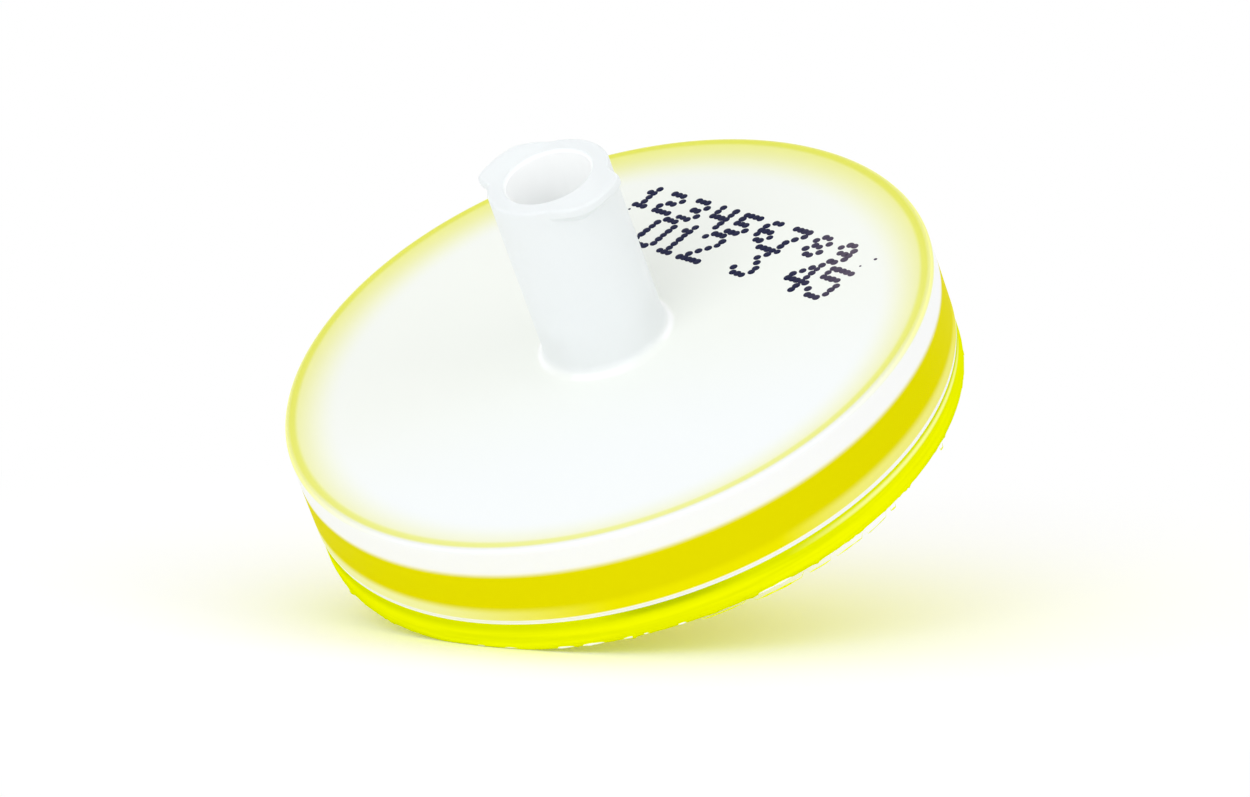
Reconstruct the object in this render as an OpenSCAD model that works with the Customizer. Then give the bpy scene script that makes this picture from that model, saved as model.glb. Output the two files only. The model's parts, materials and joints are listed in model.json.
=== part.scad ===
// 33 mm disc syringe filter, lying on its rim and nozzle.
//
// Four pieces are stacked on one axis: a tinted outlet shell with a male Luer slip
// nozzle and a ribbed support, the membrane, a glass-fibre prefilter, and a clear
// inlet shell with a female Luer lock hub. The shells are welded at the rim and
// clamp both layers between the support's land and the inlet shell's clamp ring.
// Each piece is drawn upright, with the flange's bottom face at z = 0 and the axis
// on Z, and lean() then lays the whole filter down on its rim and nozzle.

/* [Housing] */
// Outer diameter of the housing
housing_d = 33; // [28:0.5:42]
// Radial width of the clear ring around the support
ring_w = 2.35; // [1.8:0.05:3.2]
// Thickness of the clear top plate
top_t = 1.2; // [0.9:0.05:2]
// Height of the chamber above the prefilter
chamber_h = 0.4; // [0.25:0.05:0.8]
// Radius of the housing's top edge
top_edge_r = 0.3; // [0.1:0.05:0.6]

/* [Weld joint] */
// Thickness of the tinted flange at the rim
flange_t = 1.6; // [1.2:0.1:2.4]
// How far the flange stands in from the clear ring
flange_inset = 0.06; // [0:0.02:0.3]
// Radius of the flange's edges
flange_edge_r = 0.25; // [0.1:0.05:0.5]
// Height of the open joint line between ring and flange
joint_h = 0.16; // [0.1:0.02:0.4]
// Depth of the open joint line, from the ring's outside
joint_depth = 1.1; // [0.5:0.1:1.4]
// Radial clearance between the ring and the support
ring_clearance = 0.05; // [0.03:0.01:0.15]

/* [Support] */
// Height of the support above the flange
support_h = 2.3; // [1.8:0.1:3.4]
// Wall of the support, all round and under the grooves
support_wall = 1.3; // [1:0.1:1.8]
// Width of the land that the membrane is sealed on
land_w = 1.4; // [1:0.1:2]
// Width of each groove between the concentric ribs
groove_w = 0.65; // [0.4:0.05:1]
// Width of each concentric rib
rib_w = 0.45; // [0.3:0.05:0.8]
// Depth of the grooves
groove_depth = 0.6; // [0.4:0.05:0.8]
// Number of long radial channels
channels = 6; // [4:1:8]
// Width of a radial channel
channel_w = 0.8; // [0.5:0.05:1]
// Number of stiffeners under the support
stiffeners = 8; // [4:1:12]
// Thickness of a stiffener
stiffener_t = 0.9; // [0.6:0.1:1.4]
// How far the stiffeners stand back from the bottom face
stiffener_inset = 0.5; // [0.3:0.1:1]

/* [Media] */
// Thickness of the membrane
membrane_t = 0.15; // [0.1:0.01:0.25]
// Thickness of the clamped prefilter
prefilter_t = 0.5; // [0.3:0.05:0.8]
// Gap between the layers' edges and the clear ring
media_gap = 0.25; // [0.1:0.05:0.5]

/* [Inlet hub] */
// Diameter of the hub
hub_d = 6.16; // [5.8:0.02:6.6]
// Height of the hub above the top plate
hub_h = 9.83; // [8.5:0.1:13]
// Radius of the fillet at the hub's foot
hub_fillet_r = 0.6; // [0.2:0.1:1]
// Mouth diameter of the female Luer cone
socket_d = 4.3; // [4.27:0.01:4.32]
// Depth of the female Luer cone
socket_depth = 8.2; // [7.5:0.1:8.4]
// Diameter of the passage under the cone
inlet_bore_d = 2.4; // [1.6:0.1:3]
// Size of the bevel at the mouth
mouth_bevel = 0.15; // [0.05:0.05:0.3]

/* [Lock lugs] */
// Diameter over the lugs
lug_d = 7.8; // [7.5:0.05:8]
// Angle that a lug covers
lug_sweep = 80; // [60:1:90]
// Part of that angle over which its trailing side rises
lug_rise = 28; // [10:1:36]
// Part of that angle over which its leading end falls
lug_fall = 12; // [4:1:24]
// Thickness of the crest
lug_t = 0.45; // [0.2:0.05:0.8]
// Slope of the loaded flank
flank_deg = 35; // [15:1:45]

/* [Outlet nozzle] */
// Length of the nozzle below the flange
nozzle_l = 8.9; // [7.5:0.1:12]
// Diameter of the male Luer tip
tip_d = 3.97; // [3.93:0.01:4]
// Length of the male Luer cone
slip_l = 7.8; // [7:0.1:7.8]
// Radius of the tip's edge
tip_edge_r = 0.25; // [0.1:0.05:0.4]
// Diameter of the outlet bore at the tip
outlet_bore_d = 2; // [1.5:0.1:2.4]
// Draft of the outlet bore, per side
bore_draft_deg = 0.6; // [0.2:0.1:1.2]
// Diameter of the collar at the nozzle's root
collar_d = 6.6; // [5.6:0.1:8]
// Radius of the fillet between collar and nozzle
collar_fillet_r = 0.4; // [0.2:0.05:0.6]

/* [Pose] */
// Turn of the lugs about the filter's axis
lug_turn = 28; // [0:1:180]

/* [Hidden] */
$fn = 96;
slack = 0.02;                 // overlap that keeps a cut or a joint off a shared face
luer_taper = 0.06;            // change of diameter over length, on both Luer cones
distribution_ribs = 8;
distribution_rib_w = 0.5;
distribution_gap = 0.15;      // left between those ribs and the prefilter
lug_steps = 20;

// radii, from the outside in
housing_r = housing_d / 2;
flange_r = housing_r - flange_inset;
ring_in_r = housing_r - ring_w;
support_r = ring_in_r - ring_clearance;
recess_r = support_r - support_wall;
chamber_r = ring_in_r - land_w;
media_r = ring_in_r - media_gap;
hub_r = hub_d / 2;
collar_r = collar_d / 2;
tip_r = tip_d / 2;

// levels, from the bottom up
tip_z = -nozzle_l;
slip_z = tip_z + slip_l;
joint_z = flange_t + joint_h;
support_z = flange_t + support_h;
recess_z = support_z - groove_depth - support_wall;
prefilter_z = support_z + membrane_t;
clamp_z = prefilter_z + prefilter_t;
plate_z = clamp_z + chamber_h;
top_z = plate_z + top_t;
mouth_z = top_z + hub_h;
socket_z = mouth_z - socket_depth;

slip_r = tip_r + luer_taper / 2 * slip_l;
socket_end_r = socket_d / 2 - luer_taper / 2 * socket_depth;
outlet_end_r = outlet_bore_d / 2 + (support_z - tip_z) * tan(bore_draft_deg);
rib_pitch = groove_w + rib_w;
grooves = floor((chamber_r - groove_w - outlet_end_r - rib_w) / rib_pitch) + 1;

// Resting pose. The rim's edge and the tip's edge are quarter circles, with their
// centres span_r apart across the axis and span_z apart along it. Both touch the
// floor when the line between the centres leans by lean_deg.
span_r = (flange_r - flange_edge_r) - (tip_r - tip_edge_r);
span_z = nozzle_l - tip_edge_r + flange_edge_r;
lean_deg = atan2(span_z, span_r)
    - asin((flange_edge_r - tip_edge_r) / norm([span_r, span_z]));
rest_z = (flange_r - flange_edge_r) * sin(lean_deg)
    - flange_edge_r * cos(lean_deg) + flange_edge_r;
low_x = -(housing_r - top_edge_r) * cos(lean_deg) - (top_z - top_edge_r) * sin(lean_deg)
    - top_edge_r;
high_x = (flange_r - flange_edge_r) * cos(lean_deg) - flange_edge_r * sin(lean_deg)
    + flange_edge_r;
rest_x = -(low_x + high_x) / 2;

// Lays the upright filter on its rim and nozzle, centred over the floor.
module lean()
    translate([rest_x, 0, rest_z])
        rotate([0, -lean_deg, 0])
            children();

// The sliver between a square corner at p and a quarter circle of radius r. It lies
// on the side (sx, sy) of p: cut from a body it rounds that corner, and added to a
// body it fillets it.
module corner(p, r, sx, sy)
    translate(p)
        difference() {
            translate([sx > 0 ? -slack : -r, sy > 0 ? -slack : -r])
                square(r + slack);
            translate([sx * r, sy * r])
                circle(r, $fn = 48);
        }

// A ring with a rectangular section.
module ring(inner_r, outer_r, low, high)
    rotate_extrude()
        translate([inner_r, low])
            square([outer_r - inner_r, high - low]);

// Half section of the clear shell: hub, top plate, clamp ring and outer ring.
module inlet_section()
    difference() {
        union() {
            polygon([
                [0, plate_z], [chamber_r, plate_z], [chamber_r, clamp_z],
                [ring_in_r, clamp_z], [ring_in_r, flange_t],
                [housing_r - joint_depth, flange_t], [housing_r - joint_depth, joint_z],
                [housing_r, joint_z], [housing_r, top_z],
                [hub_r, top_z], [hub_r, mouth_z], [0, mouth_z]
            ]);
            corner([hub_r, top_z], hub_fillet_r, 1, 1);
        }
        corner([housing_r, top_z], top_edge_r, -1, -1);
        corner([housing_r, joint_z], flange_edge_r / 2, -1, 1);
    }

// The female Luer cone with its bevelled mouth, the passage under it and the
// flare into the chamber.
module inlet_passage()
    rotate_extrude()
        polygon([
            [0, plate_z - slack],
            [inlet_bore_d / 2 + top_t / 2, plate_z - slack],
            [inlet_bore_d / 2, plate_z + top_t / 2],
            [inlet_bore_d / 2, socket_z],
            [socket_end_r, socket_z],
            [socket_d / 2, mouth_z - mouth_bevel],
            [socket_d / 2 + mouth_bevel, mouth_z],
            [socket_d / 2 + mouth_bevel, mouth_z + slack],
            [0, mouth_z + slack]
        ]);

// Outer radius of a lug at an angle from its trailing side: a straight rise, then
// round, then a shorter fall.
function lug_r(a) =
    hub_r - slack + (lug_d / 2 - hub_r + slack)
        * min(1, a / lug_rise, (lug_sweep - a) / lug_fall);

// Section of a lug at angle a, from the mouth's face down to the sloping flank.
function lug_section(a, root_r) =
    let (r = lug_r(a))
    [
        [root_r, mouth_z],
        [r, mouth_z],
        [r, mouth_z - lug_t],
        [root_r, mouth_z - lug_t - (r - root_r) * tan(flank_deg)]
    ];

// One lug, at right angles to the axis and rooted inside the hub's wall.
module lug() {
    root_r = (hub_r + socket_d / 2 + mouth_bevel) / 2;
    sections = [for (i = [0:lug_steps]) lug_section(lug_sweep * i / lug_steps, root_r)];
    points = [
        for (i = [0:lug_steps], p = sections[i])
            let (a = lug_sweep * i / lug_steps)
            [p[0] * cos(a), p[0] * sin(a), p[1]]
    ];
    sides = [
        for (i = [0:lug_steps - 1], k = [0:3])
            let (n = (k + 1) % 4)
            [4 * i + k, 4 * (i + 1) + k, 4 * (i + 1) + n, 4 * i + n]
    ];
    last = 4 * lug_steps;
    polyhedron(points, concat(sides, [[0, 1, 2, 3], [last + 3, last + 2, last + 1, last]]));
}

// Low radial ribs under the top plate, which spread the flow over the prefilter.
module distribution_ribs() {
    inner_r = inlet_bore_d / 2 + top_t;
    for (i = [0:distribution_ribs - 1])
        rotate([0, 0, 360 * (i + 0.5) / distribution_ribs])
            translate([inner_r, -distribution_rib_w / 2, clamp_z + distribution_gap])
                cube([
                    chamber_r - land_w / 2 - inner_r,
                    distribution_rib_w,
                    chamber_h - distribution_gap + slack
                ]);
}

module inlet_shell()
    color([0.93, 0.96, 0.97, 0.45])
        lean() {
            difference() {
                union() {
                    rotate_extrude() inlet_section();
                    for (start = [0, 180])
                        rotate([0, 0, lug_turn + start])
                            lug();
                }
                inlet_passage();
            }
            distribution_ribs();
        }

// Glass-fibre layer that catches coarse particles first.
module prefilter()
    color([0.97, 0.97, 0.95])
        lean()
            ring(0, media_r, prefilter_z, clamp_z);

// Membrane, lying on the land and the ribs.
module membrane()
    color([0.99, 0.99, 0.98])
        lean()
            ring(0, media_r, support_z, prefilter_z);

// Half section of the tinted shell: support cup, flange, collar and nozzle.
module outlet_section()
    difference() {
        union() {
            polygon([
                [0, tip_z], [tip_r, tip_z], [slip_r, slip_z],
                [collar_r, slip_z], [collar_r, recess_z],
                [recess_r, recess_z], [recess_r, 0], [flange_r, 0],
                [flange_r, flange_t], [support_r, flange_t],
                [support_r, support_z], [0, support_z]
            ]);
            corner([slip_r, slip_z], collar_fillet_r, 1, -1);
            corner([collar_r, recess_z], collar_fillet_r, 1, -1);
        }
        corner([tip_r, tip_z], tip_edge_r, -1, 1);
        corner([flange_r, 0], flange_edge_r, -1, 1);
        corner([flange_r, flange_t], flange_edge_r / 2, -1, -1);
        corner([recess_r, 0], flange_edge_r, 1, 1);
    }

// The outlet bore, drafted from the tip up to the support's face.
module outlet_bore()
    translate([0, 0, tip_z - slack])
        cylinder(
            h = support_z - tip_z + 2 * slack,
            r1 = outlet_bore_d / 2,
            r2 = outlet_end_r
        );

// Concentric grooves and radial channels that drain the membrane to the bore.
// Between the long channels, short ones serve the outer grooves only.
module drain_pattern() {
    floor_z = support_z - groove_depth;
    for (i = [0:grooves - 1]) {
        outer_r = chamber_r - i * rib_pitch;
        ring(outer_r - groove_w, outer_r, floor_z, support_z + slack);
    }
    for (i = [0:2 * channels - 1]) {
        inner_r = i % 2 == 0 ? 0 : chamber_r / 2;
        rotate([0, 0, 180 * i / channels])
            translate([inner_r, -channel_w / 2, floor_z])
                cube([
                    chamber_r - groove_w / 2 - inner_r,
                    channel_w,
                    groove_depth + slack
                ]);
    }
}

// Radial stiffeners between the collar and the support's wall, rooted in both.
module stiffener_ribs() {
    inner_r = (outlet_end_r + collar_r) / 2;
    outer_r = recess_r + support_wall / 2;
    for (i = [0:stiffeners - 1])
        rotate([0, 0, 360 * i / stiffeners])
            translate([inner_r, -stiffener_t / 2, stiffener_inset])
                cube([
                    outer_r - inner_r,
                    stiffener_t,
                    recess_z - stiffener_inset + slack
                ]);
}

module outlet_shell()
    color([0.90, 0.86, 0.02, 0.8])
        lean()
            difference() {
                union() {
                    rotate_extrude() outlet_section();
                    stiffener_ribs();
                }
                outlet_bore();
                drain_pattern();
            }

outlet_shell();
membrane();
prefilter();
inlet_shell();
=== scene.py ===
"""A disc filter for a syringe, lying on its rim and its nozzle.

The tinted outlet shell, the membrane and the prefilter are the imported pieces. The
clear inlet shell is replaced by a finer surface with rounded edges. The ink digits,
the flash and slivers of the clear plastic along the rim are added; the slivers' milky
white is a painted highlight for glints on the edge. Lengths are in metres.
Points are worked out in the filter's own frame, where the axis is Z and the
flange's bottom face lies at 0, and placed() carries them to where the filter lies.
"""

import json
import math

import bpy
import numpy as np
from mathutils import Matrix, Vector


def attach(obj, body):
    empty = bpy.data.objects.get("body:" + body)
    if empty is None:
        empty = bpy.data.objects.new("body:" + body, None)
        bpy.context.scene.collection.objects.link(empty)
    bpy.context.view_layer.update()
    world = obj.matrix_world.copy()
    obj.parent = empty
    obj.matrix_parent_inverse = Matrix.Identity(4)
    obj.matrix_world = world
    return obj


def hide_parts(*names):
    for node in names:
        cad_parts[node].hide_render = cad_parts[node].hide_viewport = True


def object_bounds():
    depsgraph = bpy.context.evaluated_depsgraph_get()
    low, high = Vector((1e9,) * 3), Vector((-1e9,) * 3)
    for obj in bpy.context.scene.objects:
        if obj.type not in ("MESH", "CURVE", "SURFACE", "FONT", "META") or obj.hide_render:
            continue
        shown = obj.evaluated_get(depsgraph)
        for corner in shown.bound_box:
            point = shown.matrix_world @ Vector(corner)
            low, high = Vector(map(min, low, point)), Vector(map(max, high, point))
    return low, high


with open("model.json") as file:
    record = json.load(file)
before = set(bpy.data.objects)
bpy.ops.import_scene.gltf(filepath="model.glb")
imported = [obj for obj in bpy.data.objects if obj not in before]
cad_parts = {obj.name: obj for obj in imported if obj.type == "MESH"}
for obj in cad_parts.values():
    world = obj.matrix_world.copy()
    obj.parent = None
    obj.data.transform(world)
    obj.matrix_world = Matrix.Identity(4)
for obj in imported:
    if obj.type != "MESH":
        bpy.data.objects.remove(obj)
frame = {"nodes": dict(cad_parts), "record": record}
cad_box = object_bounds()

MM = 0.001

# ---- Sizes of the filter --------------------------------------------------------

NOZZLE_LENGTH = 8.9 * MM
FLANGE_T = 1.6 * MM
FLANGE_R = 16.44 * MM
JOINT_H = 0.16 * MM           # between the flange and the ring's lower edge
BEAD_INSET = 0.06 * MM        # how far the weld bead in the joint lies in from the wall
RING_W = 2.35 * MM            # the clear shell's outer ring
LAND_W = 1.4 * MM             # the clamp ring inside it
CHAMBER_H = 0.4 * MM          # between the prefilter and the top plate
TOP_T = 1.2 * MM              # the top plate
TOP_EDGE_R = 0.3 * MM
HUB_R = 3.08 * MM
HUB_FILLET_R = 0.6 * MM
SOCKET_R = 2.15 * MM
SOCKET_DEPTH = 8.2 * MM
LUER_TAPER = 0.06
PASSAGE_R = 1.2 * MM
MOUTH_BEVEL = 0.15 * MM
LUG_R = 3.9 * MM
LUG_SWEEP = math.radians(80)  # round the mouth, with the lug's rise and fall
LUG_RISE = math.radians(28)
LUG_FALL = math.radians(12)
LUG_EASE = 2.0                # degrees over which the lugs' upright corners are eased
LUG_EASE_STEPS = 9
LUG_T = 0.45 * MM
LUG_ROOT = 0.12 * MM          # depth of the small step where the flank meets the hub
FLANK_SLOPE = math.tan(math.radians(35))
LUG_TURN = math.radians(28)   # where the first lug starts
CONTACT = 0.01 * MM           # how far the clear shell sinks into what it is pressed on
RING_CLEARANCE = 0.05 * MM

RIB_COUNT = 8                 # low radial ribs under the top plate
RIB_W = 0.5 * MM
RIB_GAP = 0.15 * MM           # left between the ribs and the prefilter
RIB_SIDE = 0.05 * MM          # width of each rib's rounded side
RIB_STEPS = 40                # points along a rib

SHELL_ANGLES = 640            # of the clear shell's sections round the axis
CORNER_STEPS = 6              # points on each rounded corner of a section
PLATE_CORNER = 15             # corner of the section where the plate meets the clamp ring

# Print: dots laid out in the top face's own x and y
DOT_R = 0.205 * MM
DOT_SHARES = np.array([1, 1, 0.85])          # of a dot's radius, for its rings
DOT_LEVELS = np.array([-0.02, 0.006, 0.012]) * MM
DOT_SIDES = 14
DOT_SHAKE = 0.012 * MM
DOT_SPREAD = 0.05
DOT_SEED = 5
DOT_PITCH = (0.30 * MM, 0.36 * MM)           # along a line of print, and up from it
CHARACTER_PITCH = 1.70 * MM
PRINT_TURN = math.radians(-104.5)            # direction of a line of print
PRINT_UP = math.radians(-18.5)               # direction of a character's upright
PRINT_LINES = (                              # lower left dot, digits and how they are drawn
    ((10.606 * MM, 4.392 * MM), "123456789", "low"),
    ((7.51 * MM, 2.65 * MM), "012 3 45", "high"),
)
STRAY_DOTS = (                               # x, y and share of a dot's size
    (7.526 * MM, -11.443 * MM, 0.45),
    (6.915 * MM, -10.898 * MM, 0.3),
    (5.096 * MM, -10.348 * MM, 0.3),
    (10.102 * MM, 4.195 * MM, 0.35),
)
DIGITS = {
    "low": {
        "1": "..#. .##. ..#. ..#. .###",
        "2": "###. ...# .##. #... ####",
        "3": "###. ...# .##. ...# ###.",
        "4": "#..# #..# #### ...# ...#",
        "5": "#### #... ###. ...# ###.",
        "6": ".##. #... ###. #..# .##.",
        "7": "#### ...# ..#. .#.. .#..",
        "8": ".##. #..# .##. #..# .##.",
        "9": ".##. #..# .### ...# .##.",
    },
    "high": {
        " ": ".....",
        "0": ".###. #...# #...# #...# #...# #...# .###.",
        "1": "..#.. .##.. ..#.. ..#.. ..#.. ..#.. .###.",
        "2": ".###. #...# ....# ...#. ..#.. .#... #####",
        "3": "##### ...#. ..#.. ...#. ....# #...# .###.",
        "4": "...#. ..##. .#.#. #..#. ##### ...#. ...#.",
        "5": "##### #.... ####. ....# ....# #...# .###.",
    },
}

# Flash: a thin ragged fin, loose threads and slivers of the clear plastic along the flange's
# lower edge. The slivers are milky white there, a painted highlight for glints on the edge.
# Its noise is given as knots round the circle and seed, and then its least and most.
FIN_ROOT = (0.12 * MM, 0.06 * MM)            # the fin's inner corner: in from the wall, and up
FIN_TOP = (0.005 * MM, 0.3 * MM)             # its upper corner
FIN_POINT = 0.05 * MM                        # how far its point lies in from the wall
FIN_FLARE = 0.3                              # share of its depth by which its point stands out
FIN_ROUND = 0.01 * MM
FIN_LEAST = 0.02 * MM
FIN_MOST = 0.16 * MM
FIN_ANGLES = 2880
FIN_COARSE = (60, 1)
FIN_MIDDLE = (260, 2)
FIN_SPARSE = 3                # power of the middle noise, which leaves few deep places
FIN_FINE = (900, 3)
FIN_TORN = (                  # start and end in degrees, and how many times deeper
    (134, 160, 2.0),
    (228, 304, 1.2),
)
FLOOR_CLEARANCE = 0.02 * MM
THREAD_STEPS = 120
THREAD_SIDES = 8
THREAD_LEAD = 0.08            # share of a thread's length over which it drops to its depth
THREAD_WAVE = (140, 4, -0.125, 0.125)        # up and down, as shares of its depth
THREAD_SWAY = (90, 5, -0.06, 0.14)           # out and in
THREAD_GIRTH = (400, 6, 0.6, 1.4)            # share of its thickness
THREADS = (                   # start and end in degrees, depth and thickness in millimetres
    (219, 227, 0.08, 0.06),
    (228, 238, 0.24, 0.08),
    (238.5, 243.5, 0.26, 0.05),
    (244, 250.5, 0.3, 0.05),
    (251, 256.5, 0.3, 0.045),
    (257.4, 258.8, 0.25, 0.06),
    (274, 275.2, 0.22, 0.06),
)
SLIVER_R = 16.39 * MM
SLIVERS = (                   # the same, but these lie up against the wall
    (178.5, 181, 0.0, 0.07),
    (183.8, 187, 0.0, 0.07),
    (194, 197, -0.05, 0.13),
    (198.4, 202.4, -0.04, 0.14),
    (205.6, 207.4, -0.05, 0.11),
    (209, 210, -0.05, 0.07),
    (215, 216.5, -0.05, 0.12),
    (229, 236, -0.03, 0.13),
)

# ---- Looks ----------------------------------------------------------------------
# Two heights, radii or places are where a smooth step starts and ends. Four of them are
# a stripe, which comes in over the first two and goes out over the last two. A name that
# ends in NOISE holds grains to a metre, and the noise's least and most.

NO_GLINT = (0.0, 0.0, 0.0, 1)                # specular tint: nothing is reflected head on

# Clear plastic, where it is clear
RING_COLOUR = (0.99, 1.0, 1.0, 1)
HUB_COLOUR = (0.975, 0.99, 1.0, 1)
PLASTIC_IOR = 1.5
WALL_ROUGHNESS = 0.08
TOP_ROUGHNESS = 0.3
MILK_ROUGHNESS = 0.26
MOULD_NOISE = (900, -0.01, 0.01)             # added to the roughness

# Share of milk in the clear plastic
TOP_MILK = 0.97
RIM_MILK = 0.8                               # at the rim of the top face
HUB_MILK = 0.8
SOCKET_MILK = 1.0
WALL_MILK = 0.95
WALL_DEPTH = 0.1 * MM                        # the wall's milk is full this near the wall
HUB_BLEND = 0.5 * MM                         # the hub's milk is full this far up

# Milk's colour on the hub, in its socket and on the top face
HUB_MILK_COLOUR = (0.955, 0.988, 1.0, 1)
SOCKET_COLOUR = (0.99, 1.0, 1.0, 1)
TOP_MILK_COLOUR = (0.895, 0.925, 0.93, 1)
GLOW_SPILL = (-11 * MM, 0.0)                   # painted yellow spill: the top face turns warmer towards the glow
GLOW_SPILL_COLOUR = (0.89, 0.915, 0.87, 1)
GLOW_TURN = math.radians(30)                 # the glow reaches farthest in at this angle
GLOW_SHIFT = 0.055                           # share of the way out by which it comes in there
RIM_GLOW = (13.6 * MM, 16.6 * MM)            # the milk thins out towards the rim
PAINTED_GLOW = (13.6 * MM, 17.0 * MM)            # and takes on a painted yellow glow
# colour of the painted glow, light piped through the ring to its rim
PAINTED_GLOW_COLOUR = (0.99, 1.0, 0.32, 1)
# Painted yellow line: light refracted in the top face's rounded edge
GLOW_LINE = (15.75 * MM, 16.0 * MM, 16.15 * MM, 16.35 * MM)
GLOW_LINE_COLOUR = (0.88, 0.9, 0.1, 1)
GLOW_LINE_LEAST = 0.35                        # strength of the painted line where the rim has no painted glow
GLOW_LINE_GAIN = 0.5                          # and what the full painted glow adds to it
PLAIN_SIDE = (-13 * MM, -5 * MM)             # away from the glow, the rounded edge gets no painted glow
PLAIN_EDGE = (16.15 * MM, 16.35 * MM)
PLAIN_SHARE = 0.5                            # share of the top face's colour that it keeps
FOOT_GLINT = (3.14 * MM, 3.24 * MM, 3.32 * MM, 3.55 * MM)
FOOT_GLINT_GRAINS = 300                            # the painted white glints round the hub's foot are broken by noise between these levels
FOOT_GLINT_BREAKS = (0.42, 0.58)                   # noise between these levels

# Milk's colour on the ring's wall, from its lower edge up
EDGE_REFLECTION = (1.82 * MM, 1.90 * MM)           # top of the painted white reflection on the ring's lower edge
PALE_BAND = (2.2 * MM, 2.7 * MM)             # top of the pale band
PALE_YELLOW = (0.888, 0.83, 0.0, 1)
PALE_CREAM = (0.95, 0.95, 0.47, 1)
PALE_SIDE = (-7.5 * MM, 4 * MM)              # the pale band turns to cream along y
PALE_FAR = (-16.4 * MM, -13.5 * MM)          # and turns back to it near its other end
PALE_FAR_SHARE = 0.5
BAND_TOP = (4.4 * MM, 4.8 * MM)
# painted: the yellow support as seen through the clear wall
BAND_YELLOW = (0.80, 0.735, 0.0, 1)
WALL_MILK_COLOUR = (0.985, 0.995, 1.0, 1)

# Tinted plastic
SUPPORT_COLOUR = (1.0, 0.91, 0.0, 1)
FLANGE_COLOUR = (0.90, 0.945, 0.0, 1)
FLANGE_WALL = (FLANGE_R - 0.1 * MM, FLANGE_R - 0.02 * MM)    # only the outer wall is streaked
FLANGE_DARK = (0.68, 0.75, 0.0, 1)
SHADE = (0.8 * MM, 1.4 * MM)                 # the wall darkens towards its top
SHADE_NOISE = (60, 0.5, 1.1)
STREAK_GRAINS = 2200
STREAK_SQUEEZE = 0.05                        # the streaks' noise is drawn out along the wall
STREAK_SPAN = (0.35, 0.7)
STREAK_SHARE = 0.5
# Painted highlight: a pale stripe of light through the clear ring, near the wall's top
HIGHLIGHT_STRIPE = (1.1 * MM, 1.25 * MM, 1.3 * MM, 1.5 * MM)
HIGHLIGHT_STRIPE_SIDE = (-16.2 * MM, -13.5 * MM)       # the painted highlight stripe is only near the end at -y
HIGHLIGHT_STRIPE_COLOUR = (0.97, 1.0, 0.3, 1)
DEEP_SHADE = (1.1 * MM, 1.45 * MM)                 # painted shade: a short dark streak under the flange's top
DEEP_SHADE_SIDE = (-13 * MM, -10 * MM, -8.5 * MM, -6 * MM)
FLANGE_DEEP_SHADE = (0.5, 0.58, 0.0, 1)
TINTED_NOISE = (700, 0.27, 0.33)             # roughness
RIPPLE_GRAINS = 400
RIPPLE_DEPTH = 0.003 * MM

# Fibre layers
MEMBRANE_COLOUR = (0.95, 0.95, 0.94, 1)
MEMBRANE_GRAINS = 9000
PREFILTER_COLOUR = (0.93, 0.93, 0.92, 1)
PREFILTER_GRAINS = 3000
FIBRE_DETAIL = 6.0
FIBRE_DULL = 0.93                            # share of the colour's levels, at the dullest
FIBRE_ROUGHNESS = 0.8
FIBRE_ROUGHER = 0.2                          # and what the noise adds to it
FIBRE_DEPTH = 0.03 * MM

# Ink
INK_DARK = (0.005, 0.007, 0.045, 1)
# Painted sheen: the ink is lightened to grey purple, unevenly, towards the print's far end
INK_SHEEN_COLOUR = (0.09, 0.07, 0.11, 1)
INK_SHEEN = (9 * MM, 13 * MM)
SHEEN_TURN = math.radians(-60)                # the painted sheen grows in this direction
SHEEN_NOISE = (1800, 0.75, 1.25)
INK_NOISE = (4000, 0.4, 0.7)                 # roughness

# ---- The filter's own frame -----------------------------------------------------

ports = {m["name"]: m for m in frame["record"]["mounts"]}
inlet_port = np.array(ports["inlet_luer"]["pos_m"])
outlet_port = np.array(ports["outlet_luer"]["pos_m"])
axis_z = np.array(ports["inlet_luer"]["axis"])
axis_y = np.array([0.0, 1.0, 0.0])
axis_x = np.cross(axis_y, axis_z)
own_axes = np.stack([axis_x, axis_y, axis_z])
own_origin = outlet_port + NOZZLE_LENGTH * axis_z


def placed(points):
    """Own-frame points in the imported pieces' frame: the origin plus x, y and z along the axes."""
    return np.asarray(points) @ own_axes + own_origin


def height_span(node):
    """Lowest and highest own-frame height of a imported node's vertices."""
    mesh = frame["nodes"][node].data
    points = np.empty(3 * len(mesh.vertices))
    mesh.vertices.foreach_get("co", points)
    heights = (points.reshape(-1, 3) - own_origin) @ axis_z
    return heights.min(), heights.max()


housing_r = (cad_box[1].y - cad_box[0].y) / 2
prefilter_top = height_span("prefilter")[1]
mouth_z = (inlet_port - own_origin) @ axis_z
joint_z = FLANGE_T + JOINT_H
plate_z = prefilter_top + CHAMBER_H
top_z = plate_z + TOP_T
socket_z = mouth_z - SOCKET_DEPTH
support_r = housing_r - RING_W - RING_CLEARANCE
chamber_r = housing_r - RING_W - LAND_W
socket_end_r = SOCKET_R - LUER_TAPER / 2 * SOCKET_DEPTH


# ---- Surfaces -------------------------------------------------------------------

def add_piece(name, vertices, faces, normals=None):
    """A mesh object at the origin, with its place in its vertices.

    normals, if given, has one row for each vertex.
    """
    mesh = bpy.data.meshes.new(name)
    mesh.from_pydata(vertices, [], faces)
    mesh.update()
    mesh.polygons.foreach_set("use_smooth", np.ones(len(mesh.polygons), bool))
    if normals is not None:
        mesh.normals_split_custom_set_from_vertices(normals)
    piece = bpy.data.objects.new(name, mesh)
    bpy.context.scene.collection.objects.link(piece)
    return piece


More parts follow.
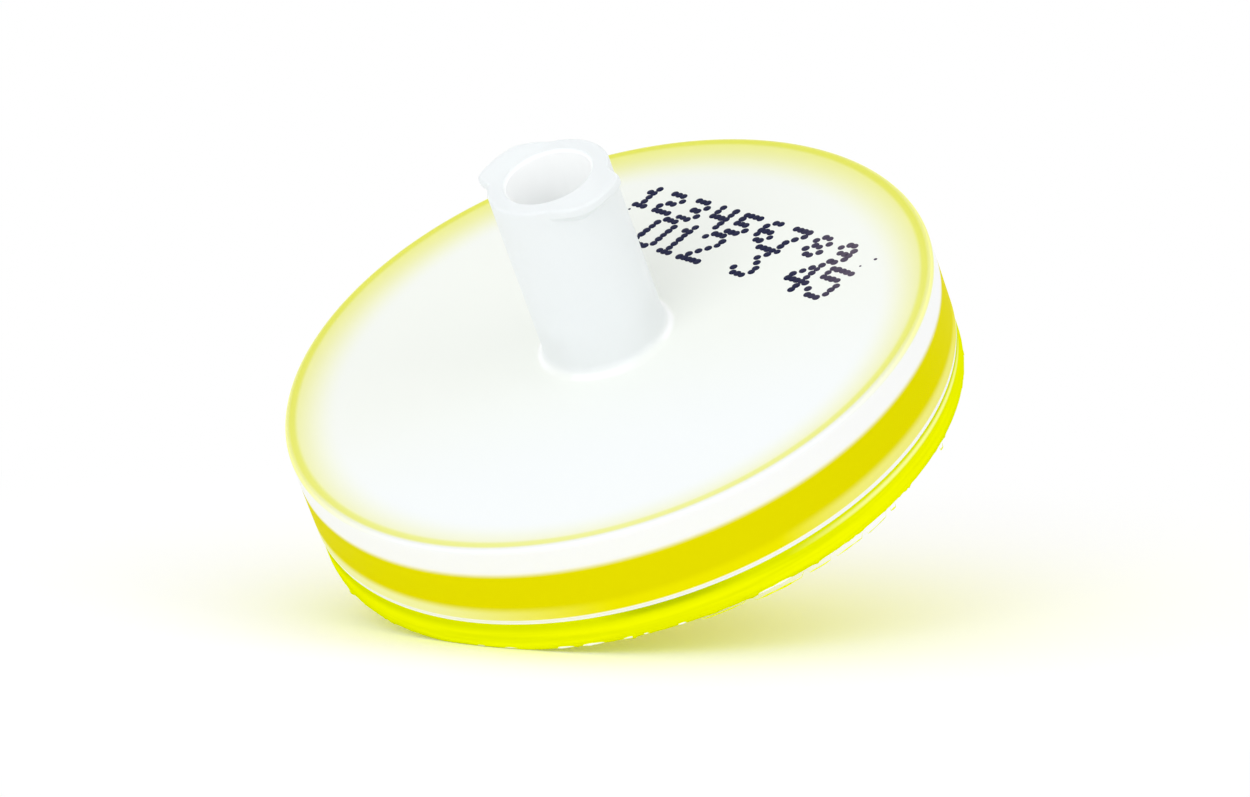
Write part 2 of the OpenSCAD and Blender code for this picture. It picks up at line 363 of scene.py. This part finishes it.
def grid_faces(rows, columns):
    """Quads of a grid that is closed in both directions, with vertices numbered row by row."""
    row, column = np.meshgrid(np.arange(rows), np.arange(columns), indexing="ij")
    next_row, next_column = (row + 1) % rows, (column + 1) % columns
    corners = [
        row * columns + column,
        next_row * columns + column,
        next_row * columns + next_column,
        row * columns + next_column,
    ]
    return np.stack(corners, axis=-1).reshape(-1, 4)


def capped_tubes(rings, ends):
    """Closed tubes from rings, (tubes, rings, sides, 3), and end points, (tubes, 2, 3).

    The sides of a ring run anticlockwise seen from the last ring. Quads join each
    ring to the next, and triangles join the first and last rings to the end points.
    Returns the vertices and the faces.
    """
    tubes, count, sides = rings.shape[:3]
    side = np.arange(sides)
    after = (side + 1) % sides
    level = np.arange(count - 1)[:, None] * sides
    quads = np.stack(
        [level + side, level + after, level + sides + after, level + sides + side], axis=-1
    ).reshape(-1, 4)
    last = (count - 1) * sides
    first_end = np.full(sides, count * sides)
    triangles = np.concatenate([
        np.stack([first_end, after, side], axis=-1),
        np.stack([first_end + 1, last + side, last + after], axis=-1),
    ])
    each = np.arange(tubes)[:, None, None] * (count * sides + 2)
    vertices = np.concatenate([rings.reshape(tubes, -1, 3), ends], axis=1)
    faces = (quads + each).reshape(-1, 4).tolist() + (triangles + each).reshape(-1, 3).tolist()
    return vertices.reshape(-1, 3), faces


def rounded_loop(corners, radii, steps):
    """Closed outline with each corner turned into an arc.

    corners is (..., K, 2), radii is (K,), and the solid lies on the left of the outline.
    With the outline turning by an angle T at a corner, the arc starts r tan(|T| / 2)
    before it, and its normal turns from the first edge's normal by shares of T. The
    arc's points are its centre plus r times the normal, or minus it at an inner corner.
    Returns the points and the outward normals, both (..., K * steps, 2).
    """
    arriving = corners - np.roll(corners, 1, axis=-2)
    arriving = arriving / np.linalg.norm(arriving, axis=-1, keepdims=True)
    leaving = np.roll(arriving, -1, axis=-2)
    turn = np.arctan2(
        arriving[..., 0] * leaving[..., 1] - arriving[..., 1] * leaving[..., 0],
        (arriving * leaving).sum(-1),
    )[..., None]
    radius = np.asarray(radii)[..., None]
    normal = np.stack([arriving[..., 1], -arriving[..., 0]], axis=-1)
    start = corners - arriving * radius * np.tan(np.abs(turn) / 2)
    bend = radius * np.sign(turn)
    centre = start - normal * bend
    angle = turn * np.linspace(0, 1, steps)
    cos, sin = np.cos(angle), np.sin(angle)
    normals = np.stack(
        [
            normal[..., :1] * cos - normal[..., 1:] * sin,
            normal[..., :1] * sin + normal[..., 1:] * cos,
        ],
        axis=-1,
    )
    points = centre[..., None, :] + normals * bend[..., None]
    shape = corners.shape[:-2] + (-1, 2)
    return points.reshape(shape), normals.reshape(shape)


def lug_height(angles):
    """How far a lug stands out at an angle: it rises, stays level and falls evenly.

    The corners between these are eased by a mean over nearby angles. There are two
    lugs, half a turn apart.
    """
    spread = np.radians(np.linspace(-LUG_EASE, LUG_EASE, LUG_EASE_STEPS))
    along = np.mod(angles[:, None] + spread - LUG_TURN, np.pi)
    shape = np.minimum(np.minimum(along / LUG_RISE, (LUG_SWEEP - along) / LUG_FALL), 1)
    return np.clip(shape, 0, 1).mean(axis=1) * (LUG_R - HUB_R)


def sections(angles, corners):
    """Corners (r, z), each one for all angles or one for each, as (angles, K, 2)."""
    return np.stack(
        [np.stack(np.broadcast_arrays(r, z, angles)[:2], axis=-1) for r, z in corners],
        axis=-2,
    )


def turned(r, z, angles):
    """Points (r cos a, r sin a, z) at these angles round the axis."""
    return np.stack([r * np.cos(angles), r * np.sin(angles), z], axis=-1)


def inlet_outline(angles):
    """Corners of the clear shell's section at each angle, (angles, K, 2), and their radii.

    The lugs change its upper outer corners.
    """
    rise = lug_height(angles)
    crest_z = mouth_z - LUG_T
    root_z = crest_z - rise * FLANK_SLOPE - LUG_ROOT
    flange_top = FLANGE_T - CONTACT
    clamp_z = prefilter_top - CONTACT
    inner_r = support_r - CONTACT
    corners = [                   # r, z and the corner's radius in millimetres
        (inner_r, flange_top, 0.02),
        (housing_r - BEAD_INSET, flange_top, 0.0),
        (housing_r - BEAD_INSET, joint_z, 0.02),
        (housing_r, joint_z, 0.03),
        (housing_r, top_z, TOP_EDGE_R / MM),
        (HUB_R, top_z, HUB_FILLET_R / MM),
        (HUB_R, root_z, 0.04),
        (HUB_R + rise, crest_z, 0.05),
        (HUB_R + rise, mouth_z, 0.15),
        (SOCKET_R + MOUTH_BEVEL, mouth_z, 0.03),
        (SOCKET_R, mouth_z - MOUTH_BEVEL, 0.06),
        (socket_end_r, socket_z, 0.1),
        (PASSAGE_R, socket_z, 0.1),
        (PASSAGE_R, plate_z + TOP_T / 2, 0.3),
        (PASSAGE_R + TOP_T / 2, plate_z, 0.2),
        (chamber_r, plate_z, 0.15),
        (chamber_r, clamp_z, 0.05),
        (inner_r, clamp_z, 0.05),
    ]
    outline = sections(angles, [corner[:2] for corner in corners])
    return outline, np.array([corner[2] for corner in corners]) * MM


def rib_depth(angles, radii):
    """How far the ribs stand down from the top plate, (angles, radii).

    The depth falls from full to nothing by a smooth step RIB_SIDE wide, which lies half
    a rib's width from the rib's middle line.
    """
    pitch = 2 * np.pi / RIB_COUNT
    turn = np.mod(angles, pitch) - pitch / 2
    off_line = np.abs(np.sin(turn))[:, None] * radii
    share = np.clip((RIB_W / 2 - off_line) / RIB_SIDE + 0.5, 0, 1)
    return share * share * (3 - 2 * share) * (CHAMBER_H - RIB_GAP)


def ribbed_plate(angles):
    """Points and normals of the plate's ribbed underside, (angles, steps, 2).

    It runs from the passage out to the clamp ring. A point's height is the plate's less
    the rib's depth, and its normal is turned by the slope of that depth.
    """
    start, end = PASSAGE_R + TOP_T, chamber_r - LAND_W / 2
    middle = np.linspace(start + RIB_SIDE, end - RIB_SIDE, RIB_STEPS)
    radii = np.concatenate([[start], middle, [end]])
    depth = rib_depth(angles, radii)
    depth[:, [0, -1]] = 0
    points = np.stack([np.broadcast_to(radii, depth.shape), plate_z - depth], axis=-1)
    slope = -np.gradient(depth, radii, axis=1)
    normals = np.stack([slope, np.full_like(slope, -1.0)], axis=-1)
    return points, normals / np.linalg.norm(normals, axis=-1, keepdims=True)


def clear_shell():
    """The inlet shell as one surface on a grid of angle by outline.

    A point is (r cos a, r sin a, z) of the outline at angle a. Its normal is the
    outline's normal, tilted against the change of the outline along the angle. The
    plate's ribbed underside goes into the outline before its corner PLATE_CORNER.
    """
    angles = np.linspace(0, 2 * np.pi, SHELL_ANGLES, endpoint=False)
    corners, radii = inlet_outline(angles)
    outline, bend = rounded_loop(corners, radii, CORNER_STEPS)
    plate = [m[:, :PLATE_CORNER * CORNER_STEPS] for m in (outline, bend)]
    rest = [m[:, PLATE_CORNER * CORNER_STEPS:] for m in (outline, bend)]
    outline, bend = (
        np.concatenate(parts, axis=1)
        for parts in zip(plate, ribbed_plate(angles), rest)
    )
    r, z = outline[..., 0], outline[..., 1]
    step = angles[1] - angles[0]
    slope_r = (np.roll(r, -1, 0) - np.roll(r, 1, 0)) / (2 * step)
    slope_z = (np.roll(z, -1, 0) - np.roll(z, 1, 0)) / (2 * step)
    across = -(bend[..., 0] * slope_r + bend[..., 1] * slope_z) / r
    cos, sin = np.cos(angles)[:, None], np.sin(angles)[:, None]
    normals = np.stack(
        [bend[..., 0] * cos - across * sin, bend[..., 0] * sin + across * cos, bend[..., 1]],
        axis=-1,
    )
    normals /= np.linalg.norm(normals, axis=-1, keepdims=True)
    return add_piece(
        "inlet_shell_clear",
        placed(turned(r, z, angles[:, None]).reshape(-1, 3)),
        grid_faces(*r.shape),
        normals.reshape(-1, 3) @ own_axes,
    )


# ---- Print ----------------------------------------------------------------------

def dot_places():
    """Middle and size of every ink dot, (dots, 3).

    A dot of a digit lies its column along the line and its row up from the digit's
    lower left dot, and it is shaken a little.
    """
    onward = np.array([math.cos(PRINT_TURN), math.sin(PRINT_TURN)])
    up = np.array([math.cos(PRINT_UP), math.sin(PRINT_UP)])
    dots = []
    for start, digits, style in PRINT_LINES:
        for place, digit in enumerate(digits):
            rows = DIGITS[style][digit].split()[::-1]
            marks = np.array([[mark == "#" for mark in row] for row in rows])
            row, column = np.nonzero(marks)
            right = place * CHARACTER_PITCH + column * DOT_PITCH[0]
            above = row * DOT_PITCH[1]
            dots.append(np.array(start) + np.outer(right, onward) + np.outer(above, up))
    dots = np.concatenate(dots)
    shake = np.random.default_rng(DOT_SEED)
    dots += shake.normal(0, DOT_SHAKE, dots.shape)
    sizes = 1 + shake.normal(0, DOT_SPREAD, (len(dots), 1))
    return np.concatenate([np.hstack([dots, sizes]), STRAY_DOTS])


def ink_dots():
    """The ink as low round buttons.

    A button's rings have DOT_SHARES of its radius, at DOT_LEVELS above the top face.
    """
    dots = dot_places()
    turn = np.linspace(0, 2 * np.pi, DOT_SIDES, endpoint=False)
    ring = np.stack([np.cos(turn), np.sin(turn)], axis=-1)
    size = DOT_R * dots[:, 2, None, None, None] * DOT_SHARES[:, None, None]
    flat = dots[:, None, None, :2] + ring * size
    level = np.broadcast_to((top_z + DOT_LEVELS)[:, None, None], flat.shape[:-1] + (1,))
    rings = np.concatenate([flat, level], axis=-1)
    middle = np.repeat(dots[:, None, :2], 2, axis=1)
    level = np.broadcast_to((top_z + DOT_LEVELS[[0, -1]])[:, None], middle.shape[:-1] + (1,))
    vertices, faces = capped_tubes(rings, np.concatenate([middle, level], axis=-1))
    return add_piece("ink_dots", placed(vertices), faces)


# ---- Flash on the flange's lower edge -------------------------------------------

def ragged(angles, knots, seed, least=0.0, most=1.0):
    """Noise round the circle: random values at evenly spaced angles, with lines between them."""
    values = np.random.default_rng(seed).random(knots)
    knot_angles = np.arange(knots) * 2 * np.pi / knots
    return least + (most - least) * np.interp(angles, knot_angles, values, period=2 * np.pi)


def least_height(angles, radius):
    """Lowest own-frame height that a point at this angle and radius may have.

    There it is FLOOR_CLEARANCE above the floor, and no farther out along x than the
    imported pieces. The axis leans towards -x, so a lower point lies farther out.
    """
    out, lift = (own_origin[i] + radius * np.cos(angles) * axis_x[i] for i in (0, 2))
    above_floor = (FLOOR_CLEARANCE - lift) / axis_z[2]
    return np.maximum(above_floor, (cad_box[1].x - out) / axis_z[0])


def fin():
    """A ragged fin round the flange's lower edge, as a grid of angle by outline.

    Its section is a small triangle with its point down. The point's depth is the
    product of coarse and fine noise, deeper in the spans of FIN_TORN, and it stops at
    least_height(). Returns the vertices and the faces.
    """
    angles = np.linspace(0, 2 * np.pi, FIN_ANGLES, endpoint=False)
    share = ragged(angles, *FIN_COARSE) * ragged(angles, *FIN_MIDDLE) ** FIN_SPARSE
    share *= ragged(angles, *FIN_FINE)
    for start, end, gain in FIN_TORN:
        torn = (angles > math.radians(start)) & (angles < math.radians(end))
        share *= np.where(torn, gain, 1)
    depth = FIN_LEAST + FIN_MOST * np.clip(share, 0, 1)
    corners = sections(angles, [
        (FLANGE_R - FIN_ROOT[0], FIN_ROOT[1]),
        (FLANGE_R - FIN_POINT + FIN_FLARE * depth, -depth),
        (FLANGE_R - FIN_TOP[0], FIN_TOP[1]),
    ])
    outline, _ = rounded_loop(corners, np.full(corners.shape[-2], FIN_ROUND), 2)
    r, z = outline[..., 0], outline[..., 1]
    z = np.maximum(z, least_height(angles[:, None], r))
    points = turned(r, z, angles[:, None])
    return points.reshape(-1, 3), grid_faces(*r.shape).tolist()


def threads(rows, edge_r):
    """Loose threads of plastic along the edge, as round tubes at this radius.

    A thread leaves the edge, hangs at its depth with a slight wave and sway, and comes
    back. Its thickness follows the square root of a half circle, and varies by noise.
    Returns the vertices and the faces.
    """
    share = np.linspace(0, 1, THREAD_STEPS)[1:-1]
    turn = np.linspace(0, 2 * np.pi, THREAD_SIDES, endpoint=False)
    rings, ends = [], []
    for start, end, depth, thickness in rows:
        tips = np.radians([start, end])
        depth, thickness = depth * MM, thickness * MM
        angle = tips[0] + (tips[1] - tips[0]) * share
        hang = np.clip(np.minimum(share, 1 - share) / THREAD_LEAD, 0, 1)
        height = -depth * (hang + ragged(angle, *THREAD_WAVE))
        height = np.maximum(height, least_height(angle, edge_r) + thickness)
        radius = edge_r + depth * ragged(angle, *THREAD_SWAY)
        half = thickness / 2 * np.sqrt(np.sin(np.pi * share)) * ragged(angle, *THREAD_GIRTH)
        r = radius[:, None] + half[:, None] * np.cos(turn)
        z = height[:, None] - half[:, None] * np.sin(turn)
        rings.append(turned(r, z, angle[:, None]))
        ends.append(turned(edge_r, height[[0, -1]], tips))
    return capped_tubes(np.array(rings), np.array(ends))


def rim_flash():
    """The fin and the threads in one mesh."""
    fin_vertices, fin_faces = fin()
    thread_vertices, thread_faces = threads(THREADS, FLANGE_R)
    moved = [[len(fin_vertices) + i for i in face] for face in thread_faces]
    return add_piece(
        "rim_flash", placed(np.concatenate([fin_vertices, thread_vertices])), fin_faces + moved
    )


def glint_slivers():
    """Slivers of the clear plastic that stick to the flange's lower edge. Milky white there,
    they are a painted highlight for glints on the edge.
    """
    vertices, faces = threads(SLIVERS, SLIVER_R)
    return add_piece("glint_slivers", placed(vertices), faces)


# ---- Materials ------------------------------------------------------------------

class Value:
    """One output socket of a material. Arithmetic on it adds Math nodes."""

    def __init__(self, tree, socket):
        self.tree, self.socket = tree, socket

    @classmethod
    def node(cls, tree, kind, settings=(), inputs=(), output=0):
        """Adds a node and gives one of its outputs.

        Its settings are set first, and then the values or links of its sockets.
        """
        made = tree.nodes.new(kind)
        for name, setting in dict(settings).items():
            setattr(made, name, setting)
        for name, given in dict(inputs).items():
            if isinstance(given, cls):
                tree.links.new(given.socket, made.inputs[name])
            else:
                made.inputs[name].default_value = given
        return cls(tree, made.outputs[output])

    def math(self, operation, first, second):
        """A Math node on two values."""
        inputs = {0: first, 1: second}
        return self.node(self.tree, "ShaderNodeMath", {"operation": operation}, inputs)

    def __add__(self, other):
        return self.math("ADD", self, other)

    def __sub__(self, other):
        return self.math("SUBTRACT", self, other)

    def __rsub__(self, other):
        return self.math("SUBTRACT", other, self)

    def __mul__(self, other):
        return self.math("MULTIPLY", self, other)

    __radd__ = __add__
    __rmul__ = __mul__


def new_material(name):
    """An empty material and its tree."""
    material = bpy.data.materials.new(name)
    material.use_nodes = True
    material.node_tree.nodes.clear()
    return material, material.node_tree


def output_surface(tree, surface, kind="ShaderNodeOutputMaterial"):
    """Sends a shader to the output of a material, or to that of the world."""
    output = tree.nodes.new(kind)
    tree.links.new(surface.socket, output.inputs["Surface"])


def smooth(value, low, high, start=0.0, end=1.0):
    """Goes smoothly from start to end as the value goes from low to high."""
    return Value.node(value.tree, "ShaderNodeMapRange", {"interpolation_type": "SMOOTHSTEP"}, {
        "Value": value, "From Min": low, "From Max": high, "To Min": start, "To Max": end,
    })


def stripe_at(value, comes, full, goes, gone):
    """1 between full and goes, falling smoothly to 0 at comes and at gone."""
    return smooth(value, comes, full) * (1 - smooth(value, goes, gone))


def vector_math(operation, *given, output="Vector"):
    """A Vector Math node on a place, and on another place or a direction if one is given."""
    settings = {"operation": operation}
    return Value.node(given[0].tree, "ShaderNodeVectorMath", settings, enumerate(given), output)


def along(place, direction):
    """How far a place lies along a direction."""
    return vector_math("DOT_PRODUCT", place, direction, output="Value")


def across_axis(angle):
    """The direction at this angle round the axis, from the filter's own x."""
    return math.cos(angle) * axis_x + math.sin(angle) * axis_y


def own_place(tree):
    """Place from the filter's own origin, height along its axis and distance from it."""
    here = Value.node(tree, "ShaderNodeTexCoord", output="Object")
    place = vector_math("SUBTRACT", here, own_origin)
    radius = vector_math("LENGTH", vector_math("CROSS_PRODUCT", place, axis_z), output="Value")
    return place, along(place, axis_z), radius


def noise(place, grains, detail=2.0):
    """Noise from 0 to 1 at a point, with this many grains to a metre."""
    return Value.node(place.tree, "ShaderNodeTexNoise", inputs={
        "Vector": place, "Scale": grains, "Detail": detail,
    })


def uneven(place, grains, least, most):
    """Noise between two numbers."""
    return noise(place, grains) * (most - least) + least


def blend(share, first, second):
    """A colour between two colours, which are sockets 6 and 7 of a Mix node."""
    inputs = {0: share, 6: first, 7: second}
    return Value.node(share.tree, "ShaderNodeMix", {"data_type": "RGBA"}, inputs, 2)


def bump(height, distance):
    """A normal tilted by a height field of this depth."""
    inputs = {"Height": height, "Distance": distance}
    return Value.node(height.tree, "ShaderNodeBump", inputs=inputs)


def greatest(first, second):
    """The greater of two values."""
    return first.math("MAXIMUM", first, second)


def clear_plastic():
    """Clear moulded plastic with milk in it.

    The surfaces inside the shell are clear. The milk covers the top face, the hub and
    the ring's wall. Its yellow bands on the wall are the yellow support behind the wall,
    painted on. Near the rim it carries a painted yellow glow and a painted yellow line,
    and the top face is painted warmer towards that glow. Painted white glints ring the
    hub's foot, and a painted white reflection runs along the ring's lower edge.
    """
    material, tree = new_material("clear_plastic")
    place, height, radius = own_place(tree)
    onward = along(place, across_axis(GLOW_TURN))
    outwards = radius + onward * GLOW_SHIFT
    on_top = smooth(height, top_z - TOP_EDGE_R, top_z - TOP_EDGE_R / 2)
    outside = smooth(radius, housing_r - TOP_EDGE_R, housing_r - WALL_DEPTH)
    hub = smooth(height, top_z, top_z + HUB_BLEND)
    inside = 1 - smooth(radius, SOCKET_R, SOCKET_R + MOUTH_BEVEL)

    # How much milk there is
    hub_milk = inside * (SOCKET_MILK - HUB_MILK) + HUB_MILK
    top_milk = smooth(outwards, *RIM_GLOW, TOP_MILK, RIM_MILK)
    top_milk = top_milk + hub * (hub_milk - TOP_MILK)
    milk = greatest(on_top * top_milk, outside * WALL_MILK)

    # The bands on the wall, each laid over those above it
    side = along(place, axis_y)
    far = (1 - smooth(side, *PALE_FAR)) * PALE_FAR_SHARE
    pale = blend(greatest(smooth(side, *PALE_SIDE), far), PALE_YELLOW, PALE_CREAM)
    # painted yellow band: the support as seen through the clear wall
    wall = blend(smooth(height, *BAND_TOP), BAND_YELLOW, WALL_MILK_COLOUR)
    wall = blend(smooth(height, *PALE_BAND), pale, wall)
    # painted white reflection along the ring's lower edge
    wall = blend(smooth(height, *EDGE_REFLECTION), WALL_MILK_COLOUR, wall)

    # The top face, with painted white glints at the hub's foot, the painted yellow glow
    # at the rim and the painted yellow line on its rounded edge
    face = blend(smooth(onward, *GLOW_SPILL), TOP_MILK_COLOUR, GLOW_SPILL_COLOUR)
    # painted white glints on the fillet at the hub's foot
    foot = stripe_at(radius, *FOOT_GLINT) * smooth(noise(place, FOOT_GLINT_GRAINS), *FOOT_GLINT_BREAKS)
    face = blend(foot, face, SOCKET_COLOUR)
    # where the painted glow may go: not on the rounded edge away from the glow
    tinted = greatest(smooth(onward, *PLAIN_SIDE), 1 - smooth(radius, *PLAIN_EDGE))
    top = blend(on_top * (tinted * (1 - PLAIN_SHARE) + PLAIN_SHARE), wall, face)
    # painted yellow glow near the rim
    painted_glow = on_top * smooth(outwards, *PAINTED_GLOW) * tinted
    # painted yellow line on the rounded edge
    line = on_top * stripe_at(radius, *GLOW_LINE) * (painted_glow * GLOW_LINE_GAIN + GLOW_LINE_LEAST)
    rim = blend(line, blend(painted_glow, top, PAINTED_GLOW_COLOUR), GLOW_LINE_COLOUR)
    colour = blend(hub, rim, blend(inside, HUB_MILK_COLOUR, SOCKET_COLOUR))

    rough = uneven(place, *MOULD_NOISE)
    clear = Value.node(tree, "ShaderNodeBsdfPrincipled", inputs={
        "Base Color": blend(hub, RING_COLOUR, HUB_COLOUR),
        "Roughness": on_top * (TOP_ROUGHNESS - WALL_ROUGHNESS) + rough + WALL_ROUGHNESS,
        "IOR": PLASTIC_IOR,
        "Transmission Weight": 1.0,
        "Specular Tint": NO_GLINT,
    })
    white = Value.node(tree, "ShaderNodeBsdfPrincipled", inputs={
        "Base Color": colour,
        "Roughness": rough + MILK_ROUGHNESS,
        "Specular IOR Level": 0.0,
    })
    mixed = Value.node(tree, "ShaderNodeMixShader", inputs={0: milk, 1: clear, 2: white})
    output_surface(tree, mixed)
    return material


def tinted_plastic():
    """Yellow moulded plastic, deeper in colour on the support than on the flange.

    The flange's outer wall has painted shade towards its top and dark streaks. Near its
    top lie a short painted dark streak of shade and a pale painted highlight stripe.
    """
    material, tree = new_material("tinted_plastic")
    place, height, radius = own_place(tree)
    side = along(place, axis_y)
    outer = smooth(radius, *FLANGE_WALL)
    drawn_out = Value.node(tree, "ShaderNodeCombineXYZ", inputs={
        0: height, 1: side * STREAK_SQUEEZE, 2: along(place, axis_x) * STREAK_SQUEEZE,
    })
    streaks = smooth(noise(drawn_out, STREAK_GRAINS), *STREAK_SPAN) * STREAK_SHARE
    shade = smooth(height, *SHADE) * uneven(place, *SHADE_NOISE)
    flange = blend(outer * greatest(shade, streaks), FLANGE_COLOUR, FLANGE_DARK)
    # painted highlight stripe
    stripe = outer * stripe_at(height, *HIGHLIGHT_STRIPE) * (1 - smooth(side, *HIGHLIGHT_STRIPE_SIDE))
    flange = blend(stripe, flange, HIGHLIGHT_STRIPE_COLOUR)
    # painted shade: a short dark streak under the flange's top
    deep = outer * stripe_at(side, *DEEP_SHADE_SIDE) * smooth(height, *DEEP_SHADE)
    flange = blend(deep, flange, FLANGE_DEEP_SHADE)
    shader = Value.node(tree, "ShaderNodeBsdfPrincipled", inputs={
        "Base Color": blend(smooth(height, FLANGE_T, joint_z), flange, SUPPORT_COLOUR),
        "Roughness": uneven(place, *TINTED_NOISE),
        "Specular IOR Level": 0.0,
        "Normal": bump(noise(place, RIPPLE_GRAINS), RIPPLE_DEPTH),
    })
    output_surface(tree, shader)
    return material


def fibres(name, colour, grains):
    """White matted fibre: small noise dulls the colour and roughens the surface."""
    material, tree = new_material(name)
    place, _, _ = own_place(tree)
    mat = noise(place, grains, FIBRE_DETAIL)
    dull = tuple(FIBRE_DULL * level for level in colour[:3]) + (1,)
    shader = Value.node(tree, "ShaderNodeBsdfPrincipled", inputs={
        "Base Color": blend(mat, dull, colour),
        "Roughness": mat * FIBRE_ROUGHER + FIBRE_ROUGHNESS,
        "Normal": bump(mat, FIBRE_DEPTH),
    })
    output_surface(tree, shader)
    return material


def ink():
    """Navy ink with a painted sheen that turns it grey purple towards the print's far end."""
    material, tree = new_material("ink")
    place, _, _ = own_place(tree)
    onward = along(place, across_axis(SHEEN_TURN))
    # painted sheen, uneven by noise
    sheen = smooth(onward, *INK_SHEEN) * uneven(place, *SHEEN_NOISE)
    shader = Value.node(tree, "ShaderNodeBsdfPrincipled", inputs={
        "Base Color": blend(sheen, INK_DARK, INK_SHEEN_COLOUR),
        "Roughness": uneven(place, *INK_NOISE),
        "Specular Tint": NO_GLINT,
    })
    output_surface(tree, shader)
    return material


# ---- Pieces ---------------------------------------------------------------------

clear = clear_plastic()
shell = clear_shell()
shell.data.materials.append(clear)
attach(shell, "root")
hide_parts("inlet_shell")

# slivers of flash whose milky white is a painted highlight
slivers = glint_slivers()
slivers.data.materials.append(clear)
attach(slivers, "root")

dots = ink_dots()
dots.data.materials.append(ink())
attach(dots, "root")

yellow = tinted_plastic()
flash = rim_flash()
flash.data.materials.append(yellow)
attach(flash, "root")

for node, material in (
    ("outlet_shell", yellow),
    ("membrane", fibres("membrane_fibre", MEMBRANE_COLOUR, MEMBRANE_GRAINS)),
    ("prefilter", fibres("prefilter_fibre", PREFILTER_COLOUR, PREFILTER_GRAINS)),
):
    frame["nodes"][node].data.materials.clear()
    frame["nodes"][node].data.materials.append(material)

# ---- Floor, light and camera ----------------------------------------------------

WHITE = (1, 1, 1, 1)
FLOOR_HALF = 0.9
FLOOR_ALBEDO = 0.9
FLOOR_GAIN = 1.05             # the floor's colour where it is seen directly
FLOOR_FADE = (20 * MM, 60 * MM)              # distances between which it turns plain white
AMBIENT = 0.9                 # strength of the light from all round
LAMP_SIZE = 0.3
LAMPS = (                     # name, place and power
    ("lamp_left", (-0.36, -0.02, 0.12), 0.33),
    ("lamp_right", (0.0, -0.35, 0.2), 0.15),
)
CAMERA_AIM = Vector((0.0001, 0.0, 0.01059))
CAMERA_DISTANCE = 0.3928
CAMERA_AZIMUTH = math.radians(-57.13)
CAMERA_ELEVATION = math.radians(7.43)
CAMERA_LENS = 230.99          # in millimetres, as the sensor's width
CAMERA_SENSOR = 36
CAMERA_CLIP = 10 * MM
CLEAR_BOUNCES = 24            # enough for a ray to cross every wall of the clear shell
DIFFUSE_BOUNCES = 8


def direct_rays(tree):
    """1 for camera, glossy and transmission rays, 0 for the rest."""
    camera = Value.node(tree, "ShaderNodeLightPath", output="Is Camera Ray")
    outputs = camera.socket.node.outputs
    glossy = Value(tree, outputs["Is Glossy Ray"])
    through = Value(tree, outputs["Is Transmission Ray"])
    return greatest(camera, greatest(glossy, through))


def floor_material():
    """White floor whose shadow fades to plain white away from the filter."""
    material, tree = new_material("floor_white")
    direct = direct_rays(tree)
    level = direct * (FLOOR_GAIN - FLOOR_ALBEDO) + FLOOR_ALBEDO
    colour = Value.node(tree, "ShaderNodeCombineColor", inputs={0: level, 1: level, 2: level})
    diffuse = Value.node(tree, "ShaderNodeBsdfDiffuse", inputs={"Color": colour})
    plain = Value.node(tree, "ShaderNodeEmission", inputs={"Color": WHITE, "Strength": 1.0})
    position = Value.node(tree, "ShaderNodeNewGeometry", output="Position")
    fade = smooth(vector_math("LENGTH", position, output="Value"), *FLOOR_FADE) * direct
    mixed = Value.node(tree, "ShaderNodeMixShader", inputs={0: fade, 1: diffuse, 2: plain})
    output_surface(tree, mixed)
    return material


def add_floor():
    """A square floor at height 0."""
    half = FLOOR_HALF
    floor = add_piece(
        "floor",
        [(-half, -half, 0), (half, -half, 0), (half, half, 0), (-half, half, 0)],
        [(0, 1, 2, 3)],
    )
    floor.data.materials.append(floor_material())


def add_world():
    """White light from all round, a little stronger where it is seen directly."""
    world = bpy.data.worlds.new("world")
    bpy.context.scene.world = world
    world.use_nodes = True
    tree = world.node_tree
    tree.nodes.clear()
    strength = direct_rays(tree) * (1 - AMBIENT) + AMBIENT
    inputs = {"Color": WHITE, "Strength": strength}
    background = Value.node(tree, "ShaderNodeBackground", inputs=inputs)
    output_surface(tree, background, "ShaderNodeOutputWorld")


def add_lamp(name, position, power):
    """A round lamp that points at the origin."""
    lamp = bpy.data.lights.new(name, "AREA")
    lamp.shape = "DISK"
    lamp.size = LAMP_SIZE
    lamp.energy = power
    holder = bpy.data.objects.new(name, lamp)
    bpy.context.scene.collection.objects.link(holder)
    holder.location = position
    holder.rotation_euler = (-Vector(position)).to_track_quat("-Z", "Y").to_euler()


def add_camera():
    """The camera at its distance from its aim, in the direction of its azimuth and elevation."""
    camera = bpy.data.objects.new("camera", bpy.data.cameras.new("camera"))
    bpy.context.scene.collection.objects.link(camera)
    bpy.context.scene.camera = camera
    camera.data.lens = CAMERA_LENS
    camera.data.sensor_width = CAMERA_SENSOR
    camera.data.clip_start = CAMERA_CLIP
    flat = math.cos(CAMERA_ELEVATION)
    back = Vector((
        math.sin(CAMERA_AZIMUTH) * flat,
        -math.cos(CAMERA_AZIMUTH) * flat,
        math.sin(CAMERA_ELEVATION),
    ))
    camera.location = CAMERA_AIM + back * CAMERA_DISTANCE
    camera.rotation_euler = back.to_track_quat("Z", "Y").to_euler()


add_floor()
add_world()
for name, position, power in LAMPS:
    add_lamp(name, position, power)
add_camera()
bpy.context.scene.view_settings.view_transform = "Standard"
cycles = bpy.context.scene.cycles
cycles.max_bounces = CLEAR_BOUNCES
cycles.transmission_bounces = CLEAR_BOUNCES
cycles.glossy_bounces = CLEAR_BOUNCES
cycles.diffuse_bounces = DIFFUSE_BOUNCES
cycles.blur_glossy = 0
